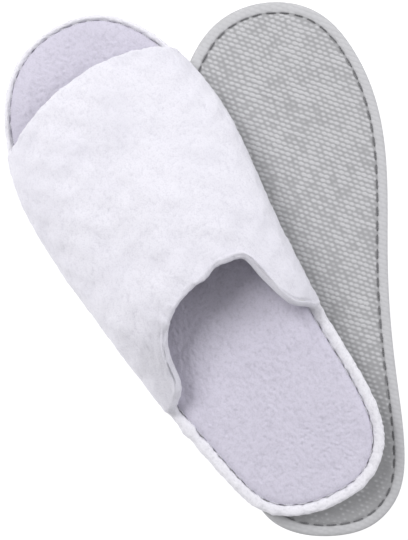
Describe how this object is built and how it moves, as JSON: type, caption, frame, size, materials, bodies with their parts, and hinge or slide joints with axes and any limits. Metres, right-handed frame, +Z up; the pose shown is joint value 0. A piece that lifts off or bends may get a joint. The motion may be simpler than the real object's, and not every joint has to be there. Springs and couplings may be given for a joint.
{
  "type": "spa slippers",
  "caption": "Pair of padded spa slippers, open at toe and heel; one stands upright across the other, which is turned over.",
  "frame": {"origin": "on the ground, under the middle of the pair's bounding box", "axes": "+Z up, +Y roughly towards the toes, +X to the wearer's right"},
  "size_m": [0.2065, 0.2843, 0.0848],
  "materials": {
    "nonslip_fabric": "matt grey fabric with raised dots in diagonal rows",
    "eva_foam": "fine closed-cell foam, cut edge",
    "soft_foam": "open-cell foam",
    "towelling": "short looped pile",
    "velour": "soft cut pile",
    "lining_cloth": "plain woven cloth",
    "white_thread": "twisted thread",
    "grey_thread": "twisted thread"
  },
  "bodies": {
    "right_slipper": {"right_outsole_front": "nonslip_fabric", "right_sole_foam_front": "eva_foam", "right_insole_sponge_front": "soft_foam", "right_insole_cover_front": "towelling", "right_rim_welt_front": "towelling", "right_insole_stitching_front": "white_thread", "right_outsole_stitching_front": "grey_thread", "right_upper_shell": "velour", "right_upper_padding": "soft_foam", "right_upper_lining": "lining_cloth"},
    "right_heel_end": {"right_outsole_heel": "nonslip_fabric", "right_sole_foam_heel": "eva_foam", "right_insole_sponge_heel": "soft_foam", "right_insole_cover_heel": "towelling", "right_rim_welt_heel": "towelling", "right_insole_stitching_heel": "white_thread", "right_outsole_stitching_heel": "grey_thread"},
    "left_slipper": {"left_outsole_front": "nonslip_fabric", "left_sole_foam_front": "eva_foam", "left_insole_sponge_front": "soft_foam", "left_insole_cover_front": "towelling", "left_rim_welt_front": "towelling", "left_insole_stitching_front": "white_thread", "left_outsole_stitching_front": "grey_thread", "left_upper_shell": "velour", "left_upper_padding": "soft_foam", "left_upper_lining": "lining_cloth"},
    "left_heel_end": {"left_outsole_heel": "nonslip_fabric", "left_sole_foam_heel": "eva_foam", "left_insole_sponge_heel": "soft_foam", "left_insole_cover_heel": "towelling", "left_rim_welt_heel": "towelling", "left_insole_stitching_heel": "white_thread", "left_outsole_stitching_heel": "grey_thread"}
  },
  "joints": [
    {"name": "left_slipper_lift", "type": "slide", "parent": "right_slipper", "child": "left_slipper", "axis": [0, 0, 1], "range_m": [0, 0.12]},
    {"name": "left_heel_bend", "type": "hinge", "parent": "left_slipper", "child": "left_heel_end", "pos_m": [0.01506, -0.04951, 0.05503], "axis": [-0.8056, -0.5252, -0.2743], "range_deg": [0, 40], "stiffness_Nm_per_rad": 0.2, "springref_deg": -5.73},
    {"name": "right_heel_bend", "type": "hinge", "parent": "right_slipper", "child": "right_heel_end", "pos_m": [0.05312, -0.05828, 0.04242], "axis": [0.9702, 0.1303, 0.2045], "range_deg": [0, 25], "stiffness_Nm_per_rad": 0.2, "springref_deg": -5.73}
  ]
}
